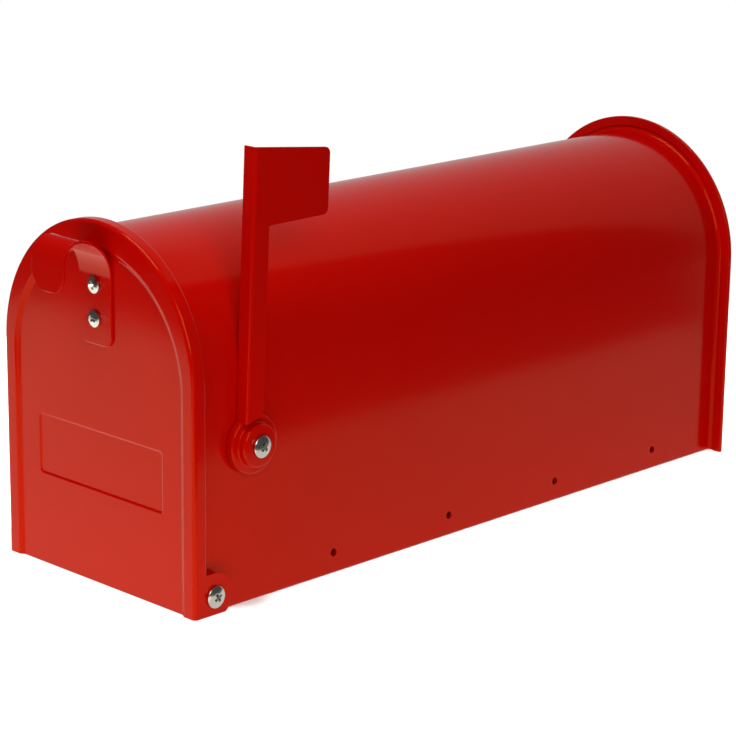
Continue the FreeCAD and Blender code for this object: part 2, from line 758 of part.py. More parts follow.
def make_hinges():
    """Screw, shouldered spacer and nut at each hinge ear."""
    collar = size.door_overhang - size.sheet - size.pivot_play
    hub_end = collar + size.sheet + 2 * size.pivot_play
    for side, name in ((1, "right"), (-1, "left")):
        outward = (0, side, 0)
        seat = side * (SIDE + hub_end)
        make_screw(f"hinge_screw_{name}", "hinge", hub_end + size.sheet, (seat, HINGE_Y, HINGE_Z), outward)
        make_ring(f"hinge_spacer_{name}", "hinge", [(size.hinge_collar, collar), (size.hinge_hub, hub_end)],
                  (side * SIDE, HINGE_Y, HINGE_Z), outward)
        make_nut(f"hinge_nut_{name}", "hinge",
                 (side * (INSIDE - size.hinge_nut_height), HINGE_Y, HINGE_Z), outward)


def make_flag_fasteners():
    """The flag's pivot screw, the sleeve it clamps, and the washer and nut inside the box."""
    outward = (0, 1, 0)
    collar = size.boss_height - size.flag_sheet - size.pivot_play
    hub_end = collar + size.flag_sheet + 2 * size.pivot_play
    washer = INSIDE - size.flag_washer_sheet
    grip = hub_end + size.sheet + size.flag_washer_sheet
    make_screw("flag_screw", "flag", grip, (SIDE + hub_end, FLAG_Y, FLAG_Z), outward)
    make_ring("flag_bush", "flag", [(size.flag_collar, collar), (size.flag_hub, hub_end)],
              (SIDE, FLAG_Y, FLAG_Z), outward)
    make_ring("flag_washer", "flag", [(size.flag_washer, size.flag_washer_sheet)],
              (washer, FLAG_Y, FLAG_Z), outward)
    make_nut("flag_nut", "flag", (washer - size.flag_nut_height, FLAG_Y, FLAG_Z), outward)


def make_pull_fasteners():
    """The two screws of the door pull and their nuts behind the door."""
    forward = (1, 0, 0)
    seat = FIELD_Y - size.pull_sheet
    nut = FIELD_Y + size.sheet + size.pull_nut_height
    for name, height in PULL_SCREWS:
        make_screw(f"pull_screw_{name}", "pull", size.pull_sheet + size.sheet, (0, seat, height), forward)
        make_nut(f"pull_nut_{name}", "pull", (0, nut, height), forward)


# Door catch
def make_catch():
    """A bracket welded under the roof and the magnet on its front leaf."""
    bracket = new_body("catch_bracket")
    front = FRONT_Y + size.catch_setback
    half = size.catch_width / 2
    upper = INSIDE - size.seam_gap
    lower = upper - size.catch_sheet
    upper_z = ARCH_Z + root(upper * upper - half * half)
    lower_z = ARCH_Z + root(lower * lower - half * half)
    foot = ROOF_Z - size.sheet - size.catch_drop
    roof_leaf = upright_sketch(bracket, "roof_leaf", front)
    draw(roof_leaf, [(half, lower_z), (half, upper_z), (-half, upper_z), (-half, lower_z)],
         {1: ((0, ARCH_Z), "left"), 3: ((0, ARCH_Z), "right")})
    extrude(bracket, "Pad", roof_leaf, size.catch_length, reverse=True)
    front_leaf = upright_sketch(bracket, "front_leaf", front)
    draw(front_leaf, [(half, foot), (half, upper_z), (-half, upper_z), (-half, foot)],
         {1: ((0, ARCH_Z), "left")})
    extrude(bracket, "Pad", front_leaf, size.catch_sheet, reverse=True)

    magnet = new_body("catch_magnet")
    block = upright_sketch(magnet, "block", front)
    draw_box(block, -size.magnet_width / 2, size.magnet_width / 2, foot, foot + size.magnet_height)
    extrude(magnet, "Pad", block, front - (FIELD_Y + size.sheet + size.magnet_gap))


make_body_shell()
make_floor_pan()
make_rear_panel()
make_door_panel()
make_door_pull()
make_flag()
make_hinges()
make_flag_fasteners()
make_pull_fasteners()
make_catch()
document.recompute()

for item in document.Objects:
    if "Invalid" in item.State or "Error" in item.State:
        raise RuntimeError(f"{item.Name} failed: {item.State}")
for piece in pieces:
    if piece.Shape.isNull() or not piece.Shape.isValid() or len(piece.Shape.Solids) != 1:
        raise RuntimeError(f"{piece.Label} is not one sound solid")

os.makedirs("parts", exist_ok=True)
for piece in pieces:
    piece.Shape.exportStep(f"parts/{piece.Label}.step")
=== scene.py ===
"""Rural mailbox in glossy red enamel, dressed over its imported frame."""
import json
import math

import bmesh
import bpy
from bpy.props import FloatProperty, FloatVectorProperty, PointerProperty
from mathutils import Matrix, Vector


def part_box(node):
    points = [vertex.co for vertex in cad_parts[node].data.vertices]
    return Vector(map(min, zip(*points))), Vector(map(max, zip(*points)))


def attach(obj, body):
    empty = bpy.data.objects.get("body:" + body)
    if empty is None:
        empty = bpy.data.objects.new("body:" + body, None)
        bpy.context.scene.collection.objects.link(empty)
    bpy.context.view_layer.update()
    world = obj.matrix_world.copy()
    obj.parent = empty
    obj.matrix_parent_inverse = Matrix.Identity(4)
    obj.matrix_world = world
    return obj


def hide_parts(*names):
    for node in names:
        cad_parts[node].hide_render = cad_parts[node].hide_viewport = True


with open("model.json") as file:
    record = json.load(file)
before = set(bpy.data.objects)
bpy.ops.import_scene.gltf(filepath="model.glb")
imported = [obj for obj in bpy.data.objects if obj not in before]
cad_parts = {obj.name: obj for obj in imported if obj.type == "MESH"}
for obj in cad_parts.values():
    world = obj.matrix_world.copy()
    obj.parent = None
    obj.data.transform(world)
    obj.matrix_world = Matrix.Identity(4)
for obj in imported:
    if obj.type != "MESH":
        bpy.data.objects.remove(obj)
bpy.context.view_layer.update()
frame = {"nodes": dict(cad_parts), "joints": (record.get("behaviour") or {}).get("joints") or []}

bl_info = {
    "name": "Rural Mailbox",
    "version": (1, 0, 0),
    "blender": (4, 5, 0),
    "location": "View3D > Sidebar > Mailbox",
    "description": "Builds a sheet-steel rural mailbox over its packed frame",
    "category": "Add Mesh",
}

BODY_LOW, BODY_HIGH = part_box("body_shell")
REAR_LOW, REAR_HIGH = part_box("rear_panel")
DOOR_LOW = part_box("door_panel")[0]
HINGE, FLAG_PIVOT = (Vector(joint["pos_m"]) for joint in frame["joints"])
SMALL_PIECES = {
    "zinc_plated_steel": ("pull_nut_upper", "pull_nut_lower", "hinge_nut_left", "hinge_nut_right",
                          "flag_nut", "flag_washer"),
    "turned_brass": ("hinge_spacer_left", "hinge_spacer_right", "flag_bush"),
    "red_enamel": ("floor_pan", "catch_bracket"),
    "ferrite": ("catch_magnet",),
}
ROUND_STEPS = 96
WHITE = 1.05  # a glow that comes out as pure white
FRAME_PX, LENS_PX = 736, 2592.013  # width of the photograph's frame and its focal length, in pixels


def linear(code):
    """An sRGB hex colour as linear red, green and blue."""
    parts = [int(code[start:start + 2], 16) / 255 for start in (1, 3, 5)]
    return tuple(part / 12.92 if part <= 0.04045 else ((part + 0.055) / 1.055) ** 2.4 for part in parts)


def length(name, default, description):
    """A size in metres that a user may change."""
    return FloatProperty(name=name, description=description, default=default, unit="LENGTH", precision=5)


def colour(name, code, description):
    """A colour that a user may change."""
    return FloatVectorProperty(name=name, description=description, default=linear(code), subtype="COLOR",
                               min=0, max=1)


class MailboxSizes(bpy.types.PropertyGroup):
    """Sizes of the mailbox's sheet-metal pieces and screws."""

    sheet: length("Sheet", 0.0009, "Thickness of the body, door and rear sheet")
    side: length("Side", 0.078, "Half the body's width")
    arch: length("Arch centre", 0.1135, "Height of the roof's centre line above the floor's underside")
    hem: length("Skirt hem", 0.007, "Height of the folded hem along each skirt")
    hem_width: length("Hem width", 0.0028, "Thickness of the folded hem")
    front_corner: length("Front corner", 0.011, "Radius of the skirts' lower front corners")
    flare: length("Flare", 0.003, "Radius of the bend into the rear flange")
    hole: length("Mounting hole", 0.005, "Diameter of the holes along the skirts")
    hole_rise: length("Hole height", 0.013, "Height of the holes above the skirts' lower edge")
    hole_start: length("First hole", 0.115, "First hole's distance from the body's front edge")
    hole_pitch: length("Hole pitch", 0.1016, "Distance from hole to hole")
    screw_hole: length("Screw hole", 0.0054, "Diameter of the clearance holes for the screws")
    rim_lip: length("Rim lip", 0.006, "Width of the rear rim's folded lip")
    rim_round: length("Rim round", 0.0008, "Radius of the rear rim's edges")
    rear_inset: length("Rear field inset", 0.016, "Distance from the rim to the rear panel's raised field")
    rear_rise: length("Rear field rise", 0.002, "Height of the rear panel's raised field")
    rear_step: length("Rear field step", 0.003, "Width of the soft step round the rear panel's raised field")
    rear_corner: length("Rear field corner", 0.006, "Radius of the raised field's lower corners")
    door_half: length("Door half width", 0.0845, "Half the door's width")
    door_flange: length("Door flange", 0.010, "Depth of the door's flange")
    door_edge: length("Door edge", 0.0024, "Radius of the door's front edge")
    door_curl: length("Door curl", 0.0042, "Thickness of the curled edge of the door's flange")
    field_half: length("Field half width", 0.0735, "Half the width of the door's sunken field")
    field_arch: length("Field arch", 0.1081, "Height of the field's arch centre above the floor's underside")
    field_slope: length("Field slope", 0.0044, "Width of the soft step into the field")
    field_recess: length("Field recess", 0.0019, "Depth of the door's sunken field")
    label_half: length("Label half width", 0.055, "Half the width of the sunken label panel")
    label_low: length("Label foot", 0.0359, "Height of the label panel's lower edge")
    label_high: length("Label top", 0.0724, "Height of the label panel's upper edge")
    label_recess: length("Label recess", 0.0008, "Depth of the sunken label panel")
    label_slope: length("Label slope", 0.0018, "Width of the soft step into the label panel")
    label_corner: length("Label corner", 0.0028, "Radius of the label panel's corners")
    door_hem: length("Door hem", 0.009, "Height of the hem behind the door's lower edge")
    door_hem_inset: length("Door hem inset", 0.008, "Distance of the door's hem from the body's sides")
    ear: length("Ear radius", 0.014, "Radius of the door's hinge ears")
    hub: length("Hinge hub", 0.00716, "Diameter of the hole in each hinge ear")
    pull_half: length("Pull half width", 0.014, "Half the width of the door pull's strap")
    pull_sheet: length("Pull sheet", 0.0016, "Thickness of the door pull's strap")
    pull_top: length("Pull bend", 0.2108, "Height of the pull's rear bend above the skirts' lower edge")
    pull_tip: length("Tongue tip", 0.1842, "Height of the tongue's tip above the skirts' lower edge")
    pull_rear_bend: length("Pull rear bend", 0.025, "Radius of the bend that leaves the door")
    pull_front_bend: length("Pull front bend", 0.011, "Radius of the bend into the tongue")
    pull_corner: length("Pull corner", 0.006, "Radius of the corners at the pull's screwed end")
    tongue_corner: length("Tongue corner", 0.011, "Radius of the tongue's lower corners")
    flag_sheet: length("Flag sheet", 0.001, "Thickness of the flag's sheet")
    flag_foot: length("Flag foot", 0.0178, "Radius of the flag's round foot")
    flag_foot_height: length("Flag foot height", 0.0055, "Height of the foot above the body's side")
    flag_boss: length("Flag boss", 0.013, "Radius of the boss on the foot")
    flag_boss_height: length("Flag boss height", 0.0105, "Height of the boss above the body's side")
    flag_hub: length("Flag hub", 0.00358, "Radius of the hole for the flag's sleeve")
    flag_gap: length("Flag gap", 0.0006, "Gap between the flag and the body's side")
    flag_front: length("Flag front", -0.0107, "Place of the arm's front edge, from the pivot")
    flag_rear: length("Flag rear", 0.0015, "Place of the arm's rear edge, from the pivot")
    flag_bend: length("Flag bend", 0.0022, "Radius of the fold along the arm")
    flag_web: length("Flag web", 0.010, "Height of the arm's broad face above the body's side")
    flag_neck: length("Flag neck", 0.1273, "Height of the plate's lower edge at the arm, above the pivot")
    flag_top: length("Flag top", 0.1726, "Height of the plate's upper edge at the arm, above the pivot")
    flag_tip: length("Flag tip", 0.0474, "Place of the plate's rear edge, from the pivot")
    flag_tip_low: length("Flag tip foot", 0.1295, "Height of the rear edge's lower end above the pivot")
    flag_tip_top: length("Flag tip top", 0.1681, "Height of the rear edge's upper end above the pivot")
    shank: length("Screw shank", 0.0025, "Radius of the screws' shanks")
    recess: length("Cross recess", 0.0028, "Half the span of the screws' cross recesses")
    recess_slot: length("Recess slot", 0.0009, "Half the width of the cross recesses' arms")


class MailboxFinish(bpy.types.PropertyGroup):
    """Colours of the mailbox's finishes."""

    enamel: colour("Enamel", "#C40501", "Red of the enamel")
    enamel_thin: colour("Enamel, thin", "#BE0401", "Red of the enamel where the coat is thinner")
    gloss: colour("Gloss", "#FFED7C", "Warm tint of the enamel's reflections")
    zinc: colour("Zinc plating", "#C9C7C2", "Bright plating of the screws and nuts")
    brass: colour("Brass", "#B99A55", "Turned brass of the spacers and the sleeve")
    ferrite: colour("Ferrite", "#2B2B2D", "Sintered magnet")
    floor: colour("Floor", "#FBFBFA", "Pale floor")
    paper: colour("Paper", "#FAF6EC", "Paper round the box that throws light back on it")


# Mesh helpers
def round_off(points, radius, closed=True, steps=8):
    """An outline with its corners rounded; radius is one number, or one for each point."""
    radii = radius if isinstance(radius, (list, tuple)) else [radius] * len(points)
    rounded = []
    for number, point in enumerate(points):
        if radii[number] == 0 or (not closed and number in (0, len(points) - 1)):
            rounded.append(tuple(point))
            continue
        corner = Vector(point)
        back = (Vector(points[number - 1]) - corner).normalized()
        ahead = (Vector(points[(number + 1) % len(points)]) - corner).normalized()
        half = back.angle(ahead) / 2
        centre = corner + (back + ahead).normalized() * radii[number] / math.sin(half)
        start = corner + back * radii[number] / math.tan(half) - centre
        end = corner + ahead * radii[number] / math.tan(half) - centre
        sweep = math.pi - 2 * half
        for step in range(steps + 1):
            share = step / steps
            turn = (start * math.sin((1 - share) * sweep) + end * math.sin(share * sweep)) / math.sin(sweep)
            rounded.append(tuple(centre + turn))
    return rounded


def arc(centre, radius, start, end, steps):
    """Points along an arc, with angles in degrees."""
    angles = [math.radians(start + (end - start) * step / steps) for step in range(steps + 1)]
    return [(centre[0] + radius * math.cos(angle), centre[1] + radius * math.sin(angle)) for angle in angles]


def arch_path(centre, half, feet):
    """The loaf outline as (x, z) from the right foot over the roof to the left foot."""
    right = [(half, foot) for foot in feet]
    roof = arc((0, centre), half, 0, 180, ROUND_STEPS)
    return right + roof + [(-x, z) for x, z in reversed(right)]


def circle(centre, diameter, steps=48):
    """A closed round outline."""
    return arc(centre, diameter / 2, 0, 360, steps)[:-1]


def s_curve(width, height, steps=8):
    """Offsets and heights of a soft step, from nothing to its full height."""
    shares = [step / steps for step in range(steps + 1)]
    return [(width * share, height * (1 - math.cos(math.pi * share)) / 2) for share in shares]


def add_loop(mesh, points):
    """Vertices of a ring of points."""
    return [mesh.verts.new(point) for point in points]


def loft(mesh, rings, closed=False):
    """Faces between neighbouring rings of as many points; gives back the rings' vertices."""
    rows = [add_loop(mesh, ring) for ring in rings]
    for row, following in zip(rows, rows[1:]):
        for start in range(len(row) if closed else len(row) - 1):
            end = (start + 1) % len(row)
            mesh.faces.new((row[start], row[end], following[end], following[start]))
    return rows


def fill(mesh, loops, normal):
    """Flat faces inside the first loop of vertices and outside the others."""
    edges = []
    for loop in loops:
        for start, end in zip(loop, loop[1:] + loop[:1]):
            edges.append(mesh.edges.get((start, end)) or mesh.edges.new((start, end)))
    bmesh.ops.triangle_fill(mesh, use_beauty=True, use_dissolve=False, edges=edges, normal=normal)


def lathe(mesh, profile, matrix, steps=64):
    """Turn a profile of (radius, height) about a matrix's Z axis; it ends on the axis or where it starts."""
    rows = []
    for number in range(steps):
        angle = 2 * math.pi * number / steps
        rows.append([matrix @ Vector((radius * math.cos(angle), radius * math.sin(angle), height))
                     for radius, height in profile])
    loft(mesh, rows + rows[:1])
    bmesh.ops.remove_doubles(mesh, verts=mesh.verts, dist=1e-6)


def prism(mesh, outline, low, high, place):
    """A closed prism of a flat outline between two depths; place turns (u, v, depth) into a point."""
    rows = loft(mesh, [[place(u, v, depth) for u, v in outline] for depth in (low, high)], closed=True)
    for row in rows:
        mesh.faces.new(row)


def across_box(u, v, depth):
    """A point of a prism that runs from side to side."""
    return depth, u, v


def along_box(u, v, depth):
    """A point of a prism that runs from front to back."""
    return u, depth, v


def face_outward(mesh, away_from):
    """Turn every face of a skin so that its normal points away from a place inside it."""
    bmesh.ops.recalc_face_normals(mesh, faces=mesh.faces)
    mesh.faces.ensure_lookup_table()
    score = sum((face.calc_center_median() - away_from).dot(face.normal) * face.calc_area()
                for face in mesh.faces)
    if score < 0:
        bmesh.ops.reverse_faces(mesh, faces=mesh.faces)


def new_piece(name, mesh):
    """A smooth-shaded object made from a mesh under construction."""
    data = bpy.data.meshes.new(name)
    mesh.to_mesh(data)
    mesh.free()
    data.shade_smooth()
    piece = bpy.data.objects.new(name, data)
    bpy.context.scene.collection.objects.link(piece)
    return piece


def add_modifier(piece, kind, **settings):
    """Add a modifier with its settings."""
    modifier = piece.modifiers.new(kind.title(), kind)
    for key, setting in settings.items():
        setattr(modifier, key, setting)
    return modifier


def settle(piece):
    """Apply a piece's modifiers to its mesh."""
    graph = bpy.context.evaluated_depsgraph_get()
    settled = bpy.data.meshes.new_from_object(piece.evaluated_get(graph))
    piece.modifiers.clear()
    piece.data = settled


def cut(piece, cutter_mesh):
    """Take the closed forms of a mesh away from a piece."""
    bmesh.ops.recalc_face_normals(cutter_mesh, faces=cutter_mesh.faces)
    cutter = new_piece("cutter", cutter_mesh)
    add_modifier(piece, "BOOLEAN", operation="DIFFERENCE", solver="EXACT", object=cutter)
    settle(piece)
    bpy.data.objects.remove(cutter)


def soften(piece, width=0.0002, angle=40):
    """Break the sharp edges and keep broad faces flat in shading."""
    add_modifier(piece, "BEVEL", width=width, segments=2, limit_method="ANGLE",
                 angle_limit=math.radians(angle))
    add_modifier(piece, "WEIGHTED_NORMAL", keep_sharp=True)
    settle(piece)
    piece.data.shade_smooth()


def put_on(piece, body, slot, material, *nodes):
    """Finish a piece: its material, the body that carries it and the solids that it stands for."""
    piece.data.materials.clear()
    piece.data.materials.append(material)
    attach(piece, body)
    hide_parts(*nodes)


# Materials
def add_node(tree, kind, settings=None, links=None):
    """Add a node, set its fields and inputs, and link its inputs to other nodes' outputs."""
    node = tree.nodes.new(kind)
    for key, setting in (settings or {}).items():
        if key in node.inputs:
            node.inputs[key].default_value = setting
        else:
            setattr(node, key, setting)
    for key, socket in (links or {}).items():
        tree.links.new(socket, node.inputs[key])
    return node


def new_material(name):
    """A node material with its tree and its shader; one that exists comes back without the two."""
    material = bpy.data.materials.get(name)
    if material:
        return material, None, None
    material = bpy.data.materials.new(name)
    material.use_nodes = True
    return material, material.node_tree, material.node_tree.nodes["Principled BSDF"]


def red_enamel(finish):
    """Baked enamel on steel sheet: a hard glossy coat with a faint orange peel over a slightly wavy sheet."""
    material, tree, shader = new_material("baked_red_enamel")
    if not tree:
        return material
    # Enamel has an IOR of about 1.5; less gives the faint reflections of this coat
    shader.inputs["IOR"].default_value = 1.24
    shader.inputs["Specular Tint"].default_value = (*finish.gloss, 1)
    place = add_node(tree, "ShaderNodeTexCoord").outputs["Object"]
    patches = add_node(tree, "ShaderNodeTexNoise", {"Scale": 1 / 0.060, "Detail": 2.0}, {"Vector": place})
    tone = add_node(tree, "ShaderNodeMix", {"data_type": "RGBA", "A": (*finish.enamel, 1),
                                            "B": (*finish.enamel_thin, 1)},
                    {"Factor": patches.outputs["Fac"]})
    tree.links.new(tone.outputs[2], shader.inputs["Base Color"])
    gloss = add_node(tree, "ShaderNodeMapRange", {"To Min": 0.10, "To Max": 0.17},
                     {"Value": patches.outputs["Fac"]})
    tree.links.new(gloss.outputs["Result"], shader.inputs["Roughness"])
    wave = add_node(tree, "ShaderNodeTexNoise", {"Scale": 1 / 0.110, "Detail": 1.0}, {"Vector": place})
    peel = add_node(tree, "ShaderNodeTexNoise", {"Scale": 1 / 0.0022, "Detail": 1.0}, {"Vector": place})
    sheet = add_node(tree, "ShaderNodeBump", {"Strength": 1.0, "Distance": 0.00025},
                     {"Height": wave.outputs["Fac"]})
    coat = add_node(tree, "ShaderNodeBump", {"Strength": 1.0, "Distance": 0.000006},
                    {"Height": peel.outputs["Fac"], "Normal": sheet.outputs["Normal"]})
    tree.links.new(coat.outputs["Normal"], shader.inputs["Normal"])
    return material


def zinc_plated_steel(finish):
    """Bright zinc plating on turned steel: a pale mirror with fine lathe marks."""
    material, tree, shader = new_material("bright_zinc_plated_steel")
    if not tree:
        return material
    shader.inputs["Metallic"].default_value = 1.0
    place = add_node(tree, "ShaderNodeTexCoord").outputs["Object"]
    grain = add_node(tree, "ShaderNodeTexNoise", {"Scale": 1 / 0.0012, "Detail": 3.0}, {"Vector": place})
    tone = add_node(tree, "ShaderNodeMix", {"data_type": "RGBA", "A": (*finish.zinc, 1),
                                            "B": (*[part * 0.8 for part in finish.zinc], 1)},
                    {"Factor": grain.outputs["Fac"]})
    tree.links.new(tone.outputs[2], shader.inputs["Base Color"])
    gloss = add_node(tree, "ShaderNodeMapRange", {"To Min": 0.14, "To Max": 0.26},
                     {"Value": grain.outputs["Fac"]})
    tree.links.new(gloss.outputs["Result"], shader.inputs["Roughness"])
    return material


def turned_brass(finish):
    """Turned brass, dulled by handling."""
    material, tree, shader = new_material("turned_brass")
    if not tree:
        return material
    shader.inputs["Metallic"].default_value = 1.0
    shader.inputs["Base Color"].default_value = (*finish.brass, 1)
    place = add_node(tree, "ShaderNodeTexCoord").outputs["Object"]
    grain = add_node(tree, "ShaderNodeTexNoise", {"Scale": 1 / 0.001, "Detail": 2.0}, {"Vector": place})
    gloss = add_node(tree, "ShaderNodeMapRange", {"To Min": 0.25, "To Max": 0.4},
                     {"Value": grain.outputs["Fac"]})
    tree.links.new(gloss.outputs["Result"], shader.inputs["Roughness"])
    return material


def sintered_ferrite(finish):
    """Sintered ferrite: a dark grey, slightly grainy ceramic."""
    material, tree, shader = new_material("sintered_ferrite")
    if not tree:
        return material
    shader.inputs["Base Color"].default_value = (*finish.ferrite, 1)
    shader.inputs["Roughness"].default_value = 0.55
    place = add_node(tree, "ShaderNodeTexCoord").outputs["Object"]
    grain = add_node(tree, "ShaderNodeTexNoise", {"Scale": 1 / 0.0008, "Detail": 4.0}, {"Vector": place})
    rough = add_node(tree, "ShaderNodeBump", {"Strength": 0.5, "Distance": 0.00005},
                     {"Height": grain.outputs["Fac"]})
    tree.links.new(rough.outputs["Normal"], shader.inputs["Normal"])
    return material


FINISHES = {
    "red_enamel": red_enamel,
    "zinc_plated_steel": zinc_plated_steel,
    "turned_brass": turned_brass,
    "ferrite": sintered_ferrite,
}


# Pieces
class MAILBOX_OT_body(bpy.types.Operator):
    """Bend the body sheet: hemmed skirts, sides, roof and flared rear flange"""

    bl_idname = "mailbox.body"
    bl_label = "Body"

    def execute(self, context):
        sizes = context.scene.mailbox_sizes
        skirt = BODY_LOW.z
        fold = sizes.hem_width / 2
        outer = [(sizes.side - sizes.hem_width, skirt + sizes.hem, 0.0)]
        for x, z in arc((sizes.side - fold, skirt + fold), fold, 180, 360, 10):
            outer.append((x, z, max(0.0, (x - sizes.side + fold) / fold)))
        # Rows that follow the rounded front corners
        for rise in (0.002, 0.003, 0.0045, 0.006, 0.008, sizes.front_corner):
            outer.append((sizes.side, skirt + rise, 1.0))
        roof = [(x, z, 1.0) for x, z in arc((0, sizes.arch), sizes.side, 0, 180, ROUND_STEPS)]
        path = outer + roof + [(-x, z, share) for x, z, share in reversed(outer)]

        def front_edge(z):
            """The front edge's Y, set back where the lower corners are rounded."""
            short = max(0.0, sizes.front_corner - (z - skirt))
            return BODY_LOW.y + sizes.front_corner - math.sqrt(sizes.front_corner ** 2 - short ** 2)

        behind = BODY_LOW.y + 1.1 * sizes.front_corner
        rings = []
        for share in (0.0, 0.5, 1.0):
            rings.append([(x, front_edge(z) + share * (behind - front_edge(z)), z) for x, z, _ in path])
        bend_y = BODY_HIGH.y - sizes.sheet - sizes.flare
        flares = [(0.0, bend_y)]
        for out, along in arc((sizes.flare, 0), sizes.flare, 180, 90, 8)[1:]:
            flares.append((out, bend_y + along))
        flares.append((BODY_HIGH.x - sizes.side, BODY_HIGH.y - sizes.sheet))
        for out, y in flares:
            ring = []
            for x, z, share in path:
                outward = Vector((x, 0, max(0.0, z - sizes.arch))).normalized() if share else Vector()
                ring.append(Vector((x, y, z)) + outward * out * share)
            rings.append(ring)
        mesh = bmesh.new()
        loft(mesh, rings)
        face_outward(mesh, Vector((0, 0, sizes.arch)))
        piece = new_piece("body_sheet", mesh)
        add_modifier(piece, "SOLIDIFY", thickness=sizes.sheet, offset=-1)
        settle(piece)
        self.bore(piece, sizes)
        soften(piece)
        # The flare's foot is folded tightly, so its sheet is kept within the body's box
        for vertex in piece.data.vertices:
            vertex.co.y = min(vertex.co.y, BODY_HIGH.y)
            vertex.co.z = max(vertex.co.z, BODY_LOW.z)
        put_on(piece, "box", "red_enamel", red_enamel(context.scene.mailbox_finish), "body_shell")
        return {"FINISHED"}

    def bore(self, piece, sizes):
        """Drill the mounting holes, the hinge holes and the flag screw's hole."""
        front = BODY_LOW.y + sizes.hole_start
        rise = BODY_LOW.z + sizes.hole_rise
        holes = [(front + number * sizes.hole_pitch, rise, sizes.hole) for number in range(4)]
        holes.append((HINGE.y, HINGE.z, sizes.screw_hole))
        inside, outside = sizes.side - 0.008, sizes.side + 0.003
        cutters = bmesh.new()
        for y, z, diameter in holes:
            for side in (1, -1):
                prism(cutters, circle((y, z), diameter), side * inside, side * outside, across_box)
        prism(cutters, circle((FLAG_PIVOT.y, FLAG_PIVOT.z), sizes.screw_hole), inside, outside, across_box)
        cut(piece, cutters)


class MAILBOX_OT_rear(bpy.types.Operator):
    """Stamp the rear panel and fold its edge over the body's flange"""

    bl_idname = "mailbox.rear"
    bl_label = "Rear panel"

    def execute(self, context):
        sizes = context.scene.mailbox_sizes
        rim, skirt = REAR_HIGH.x, REAR_LOW.z
        lip = rim - sizes.rim_lip
        fold, back = REAR_LOW.y, REAR_HIGH.y - sizes.rear_rise
        section = round_off([(lip, fold), (rim, fold), (rim, back), (lip, back)], sizes.rim_round,
                            closed=False)
        mesh = bmesh.new()
        rows = loft(mesh, [[(x, y, z) for x, z in arch_path(sizes.arch, half, [skirt])]
                           for half, y in section])
        margin = sizes.rear_inset - sizes.rear_step / 3
        rings = []
        for inset, rise in s_curve(sizes.rear_step, sizes.rear_rise):
            half = rim - margin - inset
            low = skirt + margin + inset
            outline = round_off([(half, low), (half, sizes.arch), (-half, sizes.arch), (-half, low)],
                                [sizes.rear_corner, 0, 0, sizes.rear_corner])
            roof = arc((0, sizes.arch), half, 0, 180, ROUND_STEPS)
            start = next(number for number, place in enumerate(outline) if place == (half, sizes.arch))
            outline = outline[:start] + roof + outline[start + 2:]
            rings.append([(x, back + rise, z) for x, z in outline])
        field = loft(mesh, rings, closed=True)
        mesh.faces.new(field[-1])
        fill(mesh, [rows[-1], field[0]], (0, 1, 0))
        face_outward(mesh, Vector((0, back - 0.02, sizes.arch)))
        piece = new_piece("rear_stamping", mesh)
        add_modifier(piece, "SOLIDIFY", thickness=sizes.sheet, offset=-1, use_even_offset=True)
        settle(piece)
        soften(piece)
        put_on(piece, "box", "red_enamel", red_enamel(context.scene.mailbox_finish), "rear_panel")
        return {"FINISHED"}


